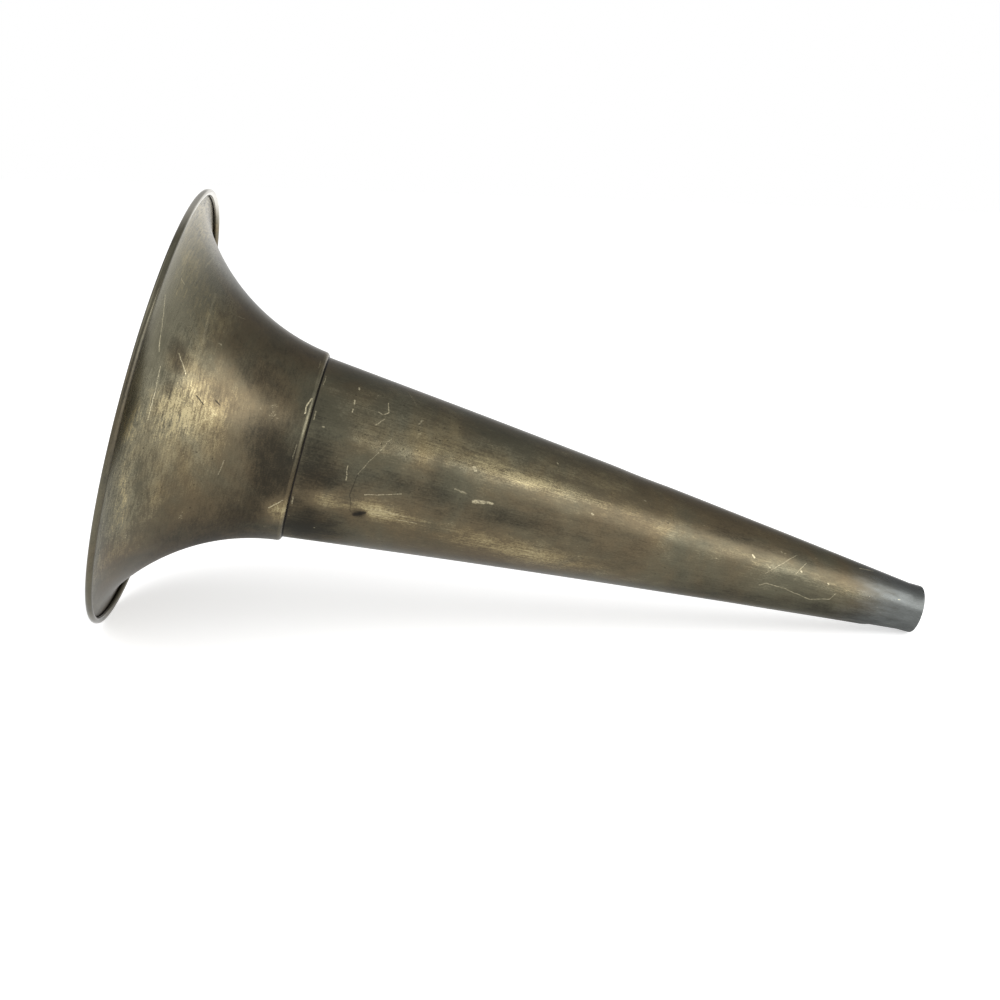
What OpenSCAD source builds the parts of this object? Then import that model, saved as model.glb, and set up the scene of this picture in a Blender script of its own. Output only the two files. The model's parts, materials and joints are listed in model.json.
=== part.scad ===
// Phonograph horn of sheet brass, lying on a table with its mouth to the left.
// The bell is spun, with its rim rolled over a wire and its neck edge turned in.
// The cone is rolled from flat sheet, lapped along its underside, and soldered into the neck.

/* [Bell] */
// Outside diameter of the mouth, over the rolled rim
mouth_d = 196; // [175:0.5:260]
// Length from the front of the mouth to the edge of the neck
bell_len = 68.9; // [55:0.1:95]
// How far the neck stands out from the cone, which is also the radius of its turned-in edge
neck_step = 2.0; // [1.4:0.1:3]
// Slope of the neck to the axis, in degrees, where its edge turns in
neck_slope = 7; // [2:0.5:10]
// Slope, in degrees, at which the neck's wide curve meets the rim's tighter one
curve_change = 54; // [44:1:60]

/* [Cone] */
// Length of the whole horn, from the front of the mouth to the end of the nipple
horn_len = 357.5; // [260:0.5:460]
// Outside diameter of the cone where it leaves the neck
cone_d = 82.4; // [70:0.1:96]
// Outside diameter of the nipple, which takes the rubber hose
nipple_d = 22.2; // [16:0.1:28]
// Length of the nipple
nipple_len = 6; // [4:0.5:14]
// How far the cone's wide end runs inside the neck
overlap_len = 8; // [5:0.5:14]

/* [Sheet and wire] */
// Thickness of the sheet brass
sheet = 0.5; // [0.4:0.05:0.7]
// Diameter of the wire in the rim
wire_d = 1.8; // [1.4:0.1:3]
// Play between the wire and the sheet rolled over it
wire_play = 0.05; // [0.02:0.01:0.1]
// How far the rim is rolled round the wire, in degrees
curl_turn = 290; // [250:5:300]

/* [Joint and seam] */
// Hairline gap between the neck's turned-in edge and the cone
lip_gap = 0.3; // [0.2:0.05:0.6]
// Width of the lapped seam
seam_w = 6; // [4:0.5:9]
// Bare stretch of the cone between the neck and the seam's raised lap
seam_start = 3; // [1:0.5:10]
// Bare stretch of the cone between the seam's raised lap and the nipple, for the hose
seam_end = 14; // [5:0.5:30]
// Width of the run of solder along the lap's open edge
solder_w = 0.9; // [0.5:0.1:2]
// Height of that run of solder
solder_h = 0.3; // [0.15:0.05:0.35]
// Play left between solder and the sheets that it joins
solder_play = 0.1; // [0.05:0.01:0.15]

/* [Hidden] */
$fn = 180;

// Degrees of turn to one straight step of a curve, for the wide and the tight curves, and the wire's sides
wide_step = 2;
tight_step = 12;
wire_facets = 32;

// Rolled rim: its outside radius, and the radius of the circle that its centre follows
bead_r = wire_d / 2 + wire_play + sheet;
rim_r = mouth_d / 2 - bead_r;

// Neck: outside radius, and where along the axis its edge starts to turn in
neck_r = cone_d / 2 + neck_step;
turn_z = bell_len - neck_step * (1 - sin(neck_slope));
lip_c = [neck_r - neck_step * cos(neck_slope), bell_len - neck_step];
lip_end_r = cone_d / 2 + lip_gap;

// Flare: two arcs that run into each other at curve_change, from the neck's slope to square at the rim.
// Their radii come from the rise and the length that they have to cover together.
rise = rim_r - neck_r;
run = turn_z - sheet;
neck_cos = cos(neck_slope) - cos(curve_change);
neck_sin = sin(curve_change) - sin(neck_slope);
det = neck_cos * (1 - sin(curve_change)) - neck_sin * cos(curve_change);
neck_arc_r = (rise * (1 - sin(curve_change)) - run * cos(curve_change)) / det;
rim_arc_r = (neck_cos * run - neck_sin * rise) / det;
neck_arc_c = [neck_r, turn_z] + neck_arc_r * [cos(neck_slope), sin(neck_slope)];
rim_arc_c = [rim_r, sheet + rim_arc_r];

// Cone: where it starts and ends, its taper, and its wall measured square to the axis
cone_z = bell_len - overlap_len;
nipple_r = nipple_d / 2;
nipple_z = horn_len - nipple_len;
taper = (cone_d / 2 - nipple_r) / (nipple_z - bell_len);
cone_slope = atan(taper);
wall = sheet / cos(cone_slope);
seam_z = [bell_len + seam_start, nipple_z - seam_end];

// Slope of the neck's inner face where the cone's wide end stops inside it
overlap_slope = asin((neck_arc_c.y - cone_z) / (neck_arc_r + sheet));

// Lying: the rim and the nipple's end both touch the table, with the mouth's front centre this high
lie_run = horn_len - bead_r;
lie_rise = rim_r - nipple_r;
lie_tilt = atan2(lie_rise, lie_run) + asin(bead_r / norm([lie_run, lie_rise]));
lie_height = bead_r * sin(lie_tilt) + rim_r * cos(lie_tilt) + bead_r;

// Lowest and highest X of the lying horn, before its middle is put at the origin
low_x = bead_r * cos(lie_tilt) - rim_r * sin(lie_tilt) - bead_r;
high_x = horn_len * cos(lie_tilt) + nipple_r * sin(lie_tilt);

// Outside radius of the cone at a place along the axis
function cone_r(z) = nipple_r + (nipple_z - z) * taper;

// Points of an arc in the plane of radius and axis, in straight steps of at most step degrees
function arc(centre, r, from, to, step) =
    let (n = max(2, ceil(abs(to - from) / step)))
    [for (i = [0:n]) let (a = from + (to - from) * i / n) centre + r * [cos(a), sin(a)]];

// The bell's sheet is followed from the neck's edge to the rim's curl.
// depth 0 is its outer face and depth sheet its inner one.
function lip_pts(depth) =
    let (r = neck_step - depth)
    arc(lip_c, r, acos((lip_end_r - lip_c.x) / r), neck_slope, tight_step);
function neck_pts(depth) =
    arc(neck_arc_c, neck_arc_r + depth, 180 + neck_slope, 180 + overlap_slope, wide_step);
function throat_pts(depth) =
    arc(neck_arc_c, neck_arc_r + depth, 180 + overlap_slope, 180 + curve_change, wide_step);
function rim_pts(depth) =
    arc(rim_arc_c, rim_arc_r + depth, 180 + curve_change, 270, wide_step);
function curl_pts(depth) =
    arc([rim_r, bead_r], bead_r - sheet + depth, -90, curl_turn - 90, tight_step);

// Drops the first point of a stretch, where it repeats the last point of the one before
function rest(pts) = [for (i = [1:len(pts) - 1]) pts[i]];
function reversed(pts) = [for (i = [len(pts) - 1:-1:0]) pts[i]];
function bell_face(depth) =
    concat(lip_pts(depth), rest(neck_pts(depth)), rest(throat_pts(depth)), rest(rim_pts(depth)),
           rest(curl_pts(depth)));

// Lays a horn that stands on its mouth along the table, seam down, over the origin
module lying() {
    translate([-(low_x + high_x) / 2, 0, lie_height])
        rotate([0, 90 + lie_tilt, 0])
            children();
}

// Sleeve that follows the cone's outside, between two places and two heights above its surface
module cone_layer(from, to, low, high) {
    rotate_extrude()
        polygon([[cone_r(from) + low, from], [cone_r(from) + high, from],
                 [cone_r(to) + high, to], [cone_r(to) + low, to]]);
}

// Strip of such a sleeve along the underside, between two places across the seam
module seam_strip(low, high, side_from, side_to) {
    intersection() {
        cone_layer(seam_z[0], seam_z[1], low, high);
        translate([0, side_from, 0])
            cube([mouth_d, side_to - side_from, horn_len]);
    }
}

// Spun bell: turned-in neck edge, flare and rolled rim in one sheet
module bell() {
    color("#6e6450")
        lying()
            rotate_extrude()
                polygon(concat(bell_face(0), reversed(bell_face(sheet))));
}

// Iron wire that the rim is rolled over
module rim_wire() {
    color("#4a4642")
        lying()
            rotate_extrude()
                translate([rim_r, bead_r])
                    circle(d = wire_d, $fn = wire_facets);
}

// Rolled cone with its straight nipple and the raised lap of its seam
module cone() {
    color("#7a6f52")
        lying() {
            rotate_extrude()
                polygon([[cone_r(cone_z), cone_z], [nipple_r, nipple_z], [nipple_r, horn_len],
                         [nipple_r - sheet, horn_len],
                         [nipple_r - sheet, nipple_z - sheet * tan(cone_slope / 2)],
                         [cone_r(cone_z) - wall, cone_z]]);
            seam_strip(-wall / 2, wall, -seam_w / 2, seam_w / 2);
        }
}

// Ring of solder between the neck and the cone, behind the turned-in edge
module joint_solder() {
    color("#8d8d88")
        lying()
            rotate_extrude()
                polygon(concat(neck_pts(sheet + solder_play),
                               [[cone_r(cone_z) + solder_play, cone_z],
                                [cone_r(turn_z) + solder_play, turn_z]]));
}

// Run of solder along the open edge of the seam's lap
module seam_solder() {
    color("#8d8d88")
        lying()
            seam_strip(solder_play, solder_h, seam_w / 2 + solder_play, seam_w / 2 + solder_w);
}

bell();
rim_wire();
cone();
joint_solder();
seam_solder();
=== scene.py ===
"""Looks of a brass phonograph horn: a spun bell with a wired rim, soldered to a rolled cone."""

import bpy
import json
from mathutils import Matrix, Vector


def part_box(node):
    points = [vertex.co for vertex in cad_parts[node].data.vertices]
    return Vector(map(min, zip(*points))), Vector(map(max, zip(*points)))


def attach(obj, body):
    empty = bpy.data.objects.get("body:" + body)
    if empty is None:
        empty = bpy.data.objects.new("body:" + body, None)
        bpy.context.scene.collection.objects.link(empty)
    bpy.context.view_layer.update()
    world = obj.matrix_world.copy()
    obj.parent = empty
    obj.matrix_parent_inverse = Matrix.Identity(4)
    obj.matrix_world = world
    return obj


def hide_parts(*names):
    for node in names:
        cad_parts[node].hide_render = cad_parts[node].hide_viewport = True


bl_info = {
    "name": "Phonograph Horn",
    "version": (1, 0, 0),
    "blender": (4, 5, 0),
    "location": "View3D > Sidebar > Horn",
    "description": "Builds a worn brass phonograph horn, piece by piece, on its packed frame",
    "category": "Add Mesh",
}

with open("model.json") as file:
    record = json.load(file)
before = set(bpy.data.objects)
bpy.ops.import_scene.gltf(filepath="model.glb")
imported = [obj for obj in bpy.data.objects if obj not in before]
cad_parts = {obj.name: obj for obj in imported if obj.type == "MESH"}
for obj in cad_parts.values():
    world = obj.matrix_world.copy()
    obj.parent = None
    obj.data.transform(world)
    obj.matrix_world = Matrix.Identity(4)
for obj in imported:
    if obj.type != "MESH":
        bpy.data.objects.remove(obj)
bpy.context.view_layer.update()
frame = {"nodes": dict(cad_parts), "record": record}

import json
import math
from collections.abc import Callable
from typing import NamedTuple

import bmesh
import bpy
import numpy as np
from bpy.props import FloatProperty, FloatVectorProperty, IntProperty, PointerProperty
from mathutils import Matrix, Vector, noise

MM = 0.001
BODY = "root"

# Attributes on the sheet: cosine and sine of the turn with the run, share of wear (below zero a darker
# crust, which on the underside is painted shade), lean to the cooler tarnish, and which face it is
LATHE = "lathe"
WEAR_AND_SHADE = "wear_and_shade"
COOL = "cool"
INNER = "inner"
RUN = "run"


# Frame: where the horn lies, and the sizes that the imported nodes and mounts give

def vectors(items, key):
    """The three numbers that each item holds under a key, one row each."""
    rows = np.empty(len(items) * 3, np.float32)
    items.foreach_get(key, rows)
    return rows.reshape(-1, 3)


def point_rows(mesh):
    return vectors(mesh.vertices, "co").astype(float)


def node_points(node):
    """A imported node's vertices, one row each."""
    return point_rows(frame["nodes"][node].data)


def packed_mount(name):
    return next(m for m in frame["record"]["mounts"] if m["name"] == name)


NIPPLE = packed_mount("nipple")
INLET = packed_mount("sound_inlet")
AXIS = Vector(NIPPLE["axis"]).normalized()
HORN_END = Vector(NIPPLE["pos_m"]) + AXIS * NIPPLE["dims"]["length_mm"] * MM / 2
HORN_LENGTH = float(-((node_points("bell") - HORN_END) @ AXIS).min())
MOUTH = HORN_END - AXIS * HORN_LENGTH


def along_and_out(node):
    """How far along the axis from the mouth's front, and how far out from it, a node's vertices lie."""
    offset = node_points(node) - MOUTH
    along = offset @ AXIS
    out = np.linalg.norm(offset - np.outer(along, AXIS), axis=1)
    return along, out


BELL_ALONG, BELL_OUT = along_and_out("bell")
WIRE_ALONG, _ = along_and_out("rim_wire")
CONE_ALONG, CONE_OUT = along_and_out("cone")

# Turning axes: the side that faces the viewer, the underside, and the way from the mouth to the nipple
FRONT = Vector((0, -1, 0))
UNDER = AXIS.cross(FRONT)
LYING = Matrix.Translation(MOUTH) @ Matrix((FRONT, UNDER, AXIS)).transposed().to_4x4()


# Sizes and finishes that a user may change

def level_property(name, description, default, **kind):
    return FloatProperty(name=name, description=description, default=float(default), **kind)


def length_property(name, description, default):
    return level_property(name, description, default, unit="LENGTH")


def angle_property(name, description, degrees):
    return level_property(name, description, math.radians(degrees), subtype="ANGLE")


def colour_property(name, description, default):
    return FloatVectorProperty(name=name, description=description, default=default, subtype="COLOR")


class HornSizes(bpy.types.PropertyGroup):
    """Sizes of the sheet, its curves and its joints."""

    mouth_diameter: length_property("Mouth", "Outside diameter over the rolled rim", 2 * BELL_OUT.max())
    bell_length: length_property(
        "Bell Length", "From the front of the mouth to the edge of the neck", BELL_ALONG.max())
    horn_length: length_property(
        "Horn Length", "From the front of the mouth to the end of the nipple", HORN_LENGTH)
    nipple_diameter: length_property(
        "Nipple", "Outside diameter of the nipple", 2 * NIPPLE["dims"]["r_mm"] * MM)
    nipple_length: length_property(
        "Nipple Length", "Straight stretch at the end of the cone", NIPPLE["dims"]["length_mm"] * MM)
    sheet: length_property(
        "Sheet", "Thickness of the brass", (NIPPLE["dims"]["r_mm"] - INLET["dims"]["r_mm"]) * MM)
    wire_diameter: length_property("Rim Wire", "Diameter of the wire in the rim", np.ptp(WIRE_ALONG))
    wire_place: length_property(
        "Wire Place", "Middle of the wire behind the front of the mouth",
        (WIRE_ALONG.min() + WIRE_ALONG.max()) / 2)
    overlap: length_property(
        "Overlap", "How far the cone runs inside the neck", BELL_ALONG.max() - CONE_ALONG.min())
    cone_wide_radius: length_property(
        "Cone Wide Radius", "Outside radius of the cone's hidden wide end", CONE_OUT.max())
    neck_step: length_property("Neck Step", "How far the neck stands out from the cone", 2.0 * MM)
    neck_slope: angle_property("Neck Slope", "Slope of the neck where its edge turns in", 7)
    curve_change: angle_property("Curve Change", "Slope where the neck's wide curve meets the rim's", 54)
    curl_turn: angle_property("Curl", "How far the rim is rolled round its wire", 298)
    lip_gap: length_property("Lip Gap", "Gap between the neck's turned-in edge and the cone", 0.3 * MM)
    seam_width: length_property("Seam Width", "Width of the cone's lapped seam", 6 * MM)
    seam_start: length_property("Seam Start", "Bare stretch between the neck and the lap", 3 * MM)
    seam_end: length_property("Seam End", "Bare stretch between the lap and the nipple", 14 * MM)
    solder_width: length_property("Solder Width", "Width of the solder along the lap", 0.9 * MM)
    solder_height: length_property("Solder Height", "Height of the solder along the lap", 0.3 * MM)
    solder_play: length_property("Solder Play", "Play between the solder and the sheets", 0.1 * MM)
    bow: length_property("Bow", "How far the cone is bent upwards at the middle of its length", 1.1 * MM)
    waviness: length_property("Waviness", "Depth of the hand-worked unevenness", 0.16 * MM)
    segments: IntProperty(name="Segments", description="Faces once round the horn", default=360)


class HornFinish(bpy.types.PropertyGroup):
    """Colours of the patina, the worn brass, the stain, the iron and the solder."""

    dark_patina: colour_property("Dark Patina", "Oldest and darkest tarnish", (0.03, 0.025, 0.0165))
    black_patina: colour_property(
        "Black Patina", "Dark tarnish where it is cooler", (0.028, 0.0262, 0.0188))
    brown_patina: colour_property("Brown Patina", "Most of the tarnish", (0.114, 0.0885, 0.052))
    olive_patina: colour_property("Olive Patina", "Cooler tarnish in between", (0.097, 0.09, 0.06))
    thin_patina: colour_property(
        "Thin Patina", "Tarnish that is nearly rubbed through", (0.2, 0.159, 0.087))
    grey_patina: colour_property("Grey Patina", "Thin tarnish where it is cooler", (0.172, 0.159, 0.109))
    worn_brass: colour_property("Worn Brass", "Rubbed metal", (0.36, 0.305, 0.175))
    bare_brass: colour_property("Bare Brass", "Fresh metal in a scratch or chip", (0.74, 0.66, 0.44))
    polished_rim: colour_property("Polished Rim", "Rim that hands have kept smooth", (0.6, 0.57, 0.5))
    tarnish_glint: level_property(
        "Tarnish Glint", "How much dark tarnish mirrors where it is seen edge-on", 0.66,
        subtype="FACTOR")
    hose_stain: colour_property("Hose Stain", "Grey left where a rubber hose sat", (0.11, 0.118, 0.115))
    # Dirt in the gouges and the stain, also laid along creases and joints as painted shade
    grime_and_crease_shade: colour_property("Grime", "Dirt in the joints and gouges", (0.014, 0.012, 0.01))
    iron: colour_property("Iron", "Dull wire in the rim", (0.085, 0.078, 0.07))
    solder: colour_property("Solder", "Old soft solder", (0.24, 0.24, 0.235))


class HornStage(bpy.types.PropertyGroup):
    """Camera, light and floor."""

    aim: FloatVectorProperty(
        name="Aim", description="Point that the camera looks at", subtype="TRANSLATION",
        unit="LENGTH", default=(-0.00952, 0, 0.0574))
    distance: length_property("Distance", "From the camera to that point", 0.69263)
    azimuth: angle_property("Azimuth", "Turn of the camera from straight in front", -2.556)
    elevation: angle_property("Elevation", "Height of the camera above the table", 12.972)
    roll: angle_property("Roll", "Tilt of the camera", 2.051)
    lens: level_property("Lens", "Focal length in millimetres", 55.45)
    softbox_power: level_property(
        "Softbox", "Power of the soft lamp in front, in watts", 7.1, subtype="POWER")
    fill_power: level_property(
        "Fill", "Power of the soft lamp on the left, in watts", 2.4, subtype="POWER")
    ceiling_front: level_property("Ceiling in Front", "Brightness of the room above and in front", 0.78)
    ceiling_back: level_property(
        "Ceiling Behind", "Brightness of the room above the white backdrop", 0.43)
    floor_colour: colour_property("Floor", "White table", (0.9, 0.9, 0.9))
    near_glow: level_property("Near Glow", "What the table lacks to be white beside the horn", 0.54)
    far_glow: level_property("Far Glow", "What the table lacks to be white where no lamp reaches", 0.56)


# Curves of the sheet, in the plane of radius and axis

def arc(centre, radius, start, end, count):
    """Points of an arc, ends included."""
    angles = np.linspace(start, end, count + 1)
    return np.array(centre) + radius * np.stack([np.cos(angles), np.sin(angles)], 1)


class BellCurves:
    """The bell's sheet from the neck's edge to the rim's curl, at any depth below its outer face."""

    def __init__(self, sizes):
        s = sizes
        self.sheet = s.sheet
        self.step = s.neck_step
        self.slope = s.neck_slope
        self.change = s.curve_change
        self.curl = s.curl_turn
        self.bead_r = s.wire_place
        self.rim_r = s.mouth_diameter / 2 - self.bead_r
        cone_r = cone_radius(s, s.bell_length)
        neck_r = cone_r + s.neck_step
        self.turn_z = turn_z = s.bell_length - s.neck_step * (1 - math.sin(s.neck_slope))
        self.lip_c = (neck_r - s.neck_step * math.cos(s.neck_slope), s.bell_length - s.neck_step)
        self.lip_end_r = cone_r + s.lip_gap
        rise = self.rim_r - neck_r
        run = turn_z - s.sheet
        neck_cos = math.cos(self.slope) - math.cos(self.change)
        neck_sin = math.sin(self.change) - math.sin(self.slope)
        rim_cos = math.cos(self.change)
        rim_sin = 1 - math.sin(self.change)
        det = neck_cos * rim_sin - neck_sin * rim_cos
        self.neck_arc_r = (rise * rim_sin - run * rim_cos) / det
        self.rim_arc_r = (neck_cos * run - neck_sin * rise) / det
        self.neck_arc_c = (neck_r + self.neck_arc_r * math.cos(self.slope),
                           turn_z + self.neck_arc_r * math.sin(self.slope))
        self.rim_arc_c = (self.rim_r, s.sheet + self.rim_arc_r)

    def lip_angle(self):
        """Turn of the neck's edge, so that its rounded end stops at the gap."""
        middle_r = self.step - self.sheet / 2
        return math.acos((self.lip_end_r + self.sheet / 2 - self.lip_c[0]) / middle_r)

    def neck_end_angle(self, along, depth):
        """Angle on the neck's curve at a place along the axis."""
        return math.asin((self.neck_arc_c[1] - along) / (self.neck_arc_r + depth))

    def face(self, depth, lip=10, neck=58, rim=24, curl=26):
        """One face of the sheet, from the lip to the curl."""
        half_turn = math.pi
        stretches = (
            arc(self.lip_c, self.step - depth, self.lip_angle(), self.slope, lip),
            arc(self.neck_arc_c, self.neck_arc_r + depth, half_turn + self.slope,
                half_turn + self.change, neck),
            arc(self.rim_arc_c, self.rim_arc_r + depth, half_turn + self.change,
                1.5 * half_turn, rim),
            arc((self.rim_r, self.bead_r), self.bead_r - self.sheet + depth, -half_turn / 2,
                self.curl - half_turn / 2, curl),
        )
        return np.concatenate([stretches[0]] + [s[1:] for s in stretches[1:]])

    def run_marks(self):
        """Runs along the outer face at the end of the lip, of the flare and of the curl."""
        lip = self.step * (self.lip_angle() - self.slope)
        flare = (lip + self.neck_arc_r * (self.change - self.slope)
                 + self.rim_arc_r * (math.pi / 2 - self.change))
        return lip, flare, flare + self.bead_r * self.curl

    def outline(self):
        """The closed section: outer face, rounded curl end, inner face, rounded lip end."""
        outer = self.face(0)
        inner = self.face(self.sheet, lip=8, neck=40, rim=18, curl=26)
        points, runs, flags = close_sheet(outer, inner)
        # The inner face shows on the curl's outside, and counts as outer from just past the flare's end
        past_flare = 0.2 * MM
        return points, runs, np.where(runs > self.run_marks()[1] + past_flare, 0, flags)


def rounded_end(start, end, forward, count=5):
    """Half circle from one face's end to the other's, bulging forward, ends left out."""
    middle = (start + end) / 2
    across = (start - end) / 2
    angles = np.linspace(0, math.pi, count + 2)[1:-1]
    ahead = forward / np.linalg.norm(forward) * np.linalg.norm(across)
    return middle + np.outer(np.cos(angles), across) + np.outer(np.sin(angles), ahead)


def run_along(points):
    """Length of the line through points, up to each of them."""
    return np.concatenate([[0], np.cumsum(np.linalg.norm(np.diff(points, axis=0), axis=1))])


def close_sheet(outer, inner):
    """Closed section of a sheet, with its run from the first end and a flag for the inner face."""
    far_end = rounded_end(outer[-1], inner[-1], outer[-1] - outer[-2])
    near_end = rounded_end(inner[0], outer[0], outer[0] - outer[1])
    points = np.concatenate([outer, far_end, inner[::-1], near_end])
    outer_run = run_along(outer)
    runs = np.concatenate([outer_run, np.full(len(far_end), outer_run[-1]), run_along(inner)[::-1],
                           np.zeros(len(near_end))])
    flags = np.concatenate([np.zeros(len(outer) + len(far_end)), np.ones(len(inner)),
                            np.zeros(len(near_end))])
    return points, runs, flags


def nipple_start(s):
    return s.horn_length - s.nipple_length


def cone_taper(s):
    """How fast the cone's radius falls along the axis."""
    cone_start = s.bell_length - s.overlap
    return (s.cone_wide_radius - s.nipple_diameter / 2) / (nipple_start(s) - cone_start)


def cone_slope(s):
    return math.atan(cone_taper(s))


def cone_radius(s, along):
    """Outside radius of the cone, or of the nipple past its end."""
    return s.nipple_diameter / 2 + cone_taper(s) * np.maximum(nipple_start(s) - along, 0)


def cone_bow(s, along):
    """How far the cone is bent towards the top, at a place along the axis."""
    share = (along - s.bell_length) / (s.horn_length - s.bell_length)
    return s.bow * 4 * max(share, 0) * (1 - share)


def seam_ends(s):
    """Where the lap of the cone's seam starts and ends along the axis."""
    return s.bell_length + s.seam_start, nipple_start(s) - s.seam_end


# Node trees

def set_inputs(tree, node, inputs):
    """Sets a node's inputs to values, or links them to sockets."""
    for key, value in inputs.items():
        if isinstance(value, bpy.types.NodeSocket):
            tree.links.new(value, node.inputs[key])
        else:
            node.inputs[key].default_value = value


def add_node(tree, kind, inputs=None, **settings):
    """A node with its settings and its inputs."""
    node = tree.nodes.new(kind)
    for key, value in settings.items():
        setattr(node, key, value)
    set_inputs(tree, node, inputs or {})
    return node


def math_node(tree, operation, *values, clamp=False):
    node = add_node(tree, "ShaderNodeMath", dict(enumerate(values)), operation=operation,
                    use_clamp=clamp)
    return node.outputs[0]


def times(tree, first, second, clamp=False):
    return math_node(tree, "MULTIPLY", first, second, clamp=clamp)


def times_plus(tree, value, factor, base):
    """A value times a factor, on top of a base."""
    return math_node(tree, "MULTIPLY_ADD", value, factor, base)


def vector_node(tree, operation, *values):
    """A vector operation's result, which for a length or a dot product is a number."""
    node = add_node(tree, "ShaderNodeVectorMath", dict(enumerate(values)), operation=operation)
    scalar = operation in {"LENGTH", "DOT_PRODUCT", "DISTANCE"}
    return node.outputs["Value" if scalar else "Vector"]


def scaled_vector(tree, vector, scale):
    node = add_node(tree, "ShaderNodeVectorMath", {0: vector, "Scale": scale}, operation="SCALE")
    return node.outputs["Vector"]


def remap(tree, value, low, high, to_low=0.0, to_high=1.0):
    """A value carried smoothly from one range to another and kept within it."""
    node = add_node(tree, "ShaderNodeMapRange",
                    {"Value": value, "From Min": low, "From Max": high,
                     "To Min": to_low, "To Max": to_high}, interpolation_type="SMOOTHSTEP")
    return node.outputs["Result"]


def mix_colour(tree, factor, first, second):
    """A mix of two colours, each a socket or three numbers."""
    node = add_node(tree, "ShaderNodeMix", data_type="RGBA")
    place = {socket.identifier: i for i, socket in enumerate(node.inputs)}
    first, second = (c if isinstance(c, bpy.types.NodeSocket) else (*c, 1) for c in (first, second))
    set_inputs(tree, node, {place["Factor_Float"]: factor, place["A_Color"]: first,
                            place["B_Color"]: second})
    return next(s for s in node.outputs if s.identifier == "Result_Color")


def noise_node(tree, vector, scale, detail, roughness, distortion=0.0):
    node = add_node(tree, "ShaderNodeTexNoise",
                    {"Vector": vector, "Scale": scale, "Detail": detail, "Roughness": roughness,
                     "Distortion": distortion})
    return node.outputs[0]


def split(tree, vector):
    """The X, Y and Z of a vector."""
    return add_node(tree, "ShaderNodeSeparateXYZ", {"Vector": vector}).outputs


def joined(tree, **parts):
    """A vector of its X, Y and Z."""
    return add_node(tree, "ShaderNodeCombineXYZ", parts).outputs["Vector"]


def named_group(name, kind, output, **inputs):
    """A new node tree and the sockets of its inputs. The output and the inputs give their kinds."""
    tree = bpy.data.node_groups.new(name, kind)
    for label, socket in inputs.items():
        tree.interface.new_socket(label.replace("_", " "), in_out="INPUT",
                                  socket_type="NodeSocket" + socket)
    label, socket = output
    tree.interface.new_socket(label, in_out="OUTPUT", socket_type="NodeSocket" + socket)
    return tree, tree.nodes.new("NodeGroupInput").outputs


def turned_sheet_tree():
    """Node tree that turns a section about the axis and leaves it a little uneven, as handwork does."""
    tree, given = named_group(
        "Turned Sheet", "GeometryNodeTree", ("Piece", "Geometry"), Section="Geometry", Segments="Int",
        Hub_Radius="Float", Waviness="Float", Waves_Per_Metre="Float", Seed="Float", Material="Material")

    # Each point of a circle about the axis carries the section
    section = add_node(tree, "GeometryNodeMeshToCurve", {"Mesh": given["Section"]})
    circle = add_node(tree, "GeometryNodeCurvePrimitiveCircle",
                      {"Resolution": given["Segments"], "Radius": given["Hub Radius"]})
    upright = add_node(tree, "GeometryNodeSetCurveNormal", {"Curve": circle.outputs["Curve"]},
                       mode="Z_UP")
    turned = add_node(tree, "GeometryNodeCurveToMesh",
                      {"Curve": upright.outputs["Curve"], "Profile Curve": section.outputs["Curve"]})

    # Shallow waves, always inwards, so that the piece keeps within its size
    position = add_node(tree, "GeometryNodeInputPosition").outputs["Position"]
    flat = vector_node(tree, "MULTIPLY", position, (1, 1, 0))
    outwards = vector_node(tree, "NORMALIZE", flat)
    waves = add_node(tree, "ShaderNodeTexNoise",
                     {"Vector": position, "W": given["Seed"], "Scale": given["Waves Per Metre"],
                      "Detail": 1.0}, noise_dimensions="4D")
    depth = times(tree, waves.outputs[0], given["Waviness"])
    offset = vector_node(tree, "MULTIPLY", scaled_vector(tree, outwards, depth), (-1, -1, -1))
    worked = add_node(tree, "GeometryNodeSetPosition",
                      {"Geometry": turned.outputs["Mesh"], "Offset": offset})

    # The turn, counted from the viewer's side towards the top, and the run of the sheet
    run = add_node(tree, "GeometryNodeInputNamedAttribute", {"Name": RUN}, data_type="FLOAT")
    parts = split(tree, outwards)
    upwards = times(tree, parts["Y"], -1.0)
    lathe = joined(tree, X=parts["X"], Y=upwards, Z=run.outputs["Attribute"])
    finished = add_node(tree, "GeometryNodeStoreNamedAttribute",
                        {"Geometry": worked.outputs["Geometry"], "Name": LATHE, "Value": lathe},
                        data_type="FLOAT_VECTOR", domain="POINT")
    for kind, inputs in (("SetShadeSmooth", {}), ("RealizeInstances", {}),
                         ("SetMaterial", {"Material": given["Material"]})):
        finished = add_node(tree, "GeometryNode" + kind,
                            {"Geometry": finished.outputs["Geometry"], **inputs})
    add_node(tree, "NodeGroupOutput", {"Piece": finished.outputs["Geometry"]})
    return tree


# Meshes

# Radius of the circle that carries a turned section, waves to a metre in the bell and in the cone, where
# the cone's waves start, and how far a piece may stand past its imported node
HUB_RADIUS = 10 * MM
BELL_WAVES = 22.0
CONE_WAVES = 24
CONE_WAVE_START = Vector((5, 1, 2))
PLACE_SPARE = 0.6 * MM


def put_values(mesh, name, values):
    """Stores one number for each vertex."""
    attribute = mesh.attributes.get(name) or mesh.attributes.new(name, "FLOAT", "POINT")
    attribute.data.foreach_set("value", np.asarray(values, np.float32))


def turn_and_run(mesh):
    """Each vertex's turn, in degrees from the viewer's side towards the top, and run, in millimetres."""
    rows = vectors(mesh.attributes[LATHE].data, "vector")
    return np.degrees(np.arctan2(rows[:, 1], rows[:, 0])), rows[:, 2] / MM


def linked(context, name, data):
    """A new object in the scene."""
    made = bpy.data.objects.new(name, data)
    context.scene.collection.objects.link(made)
    return made


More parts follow.
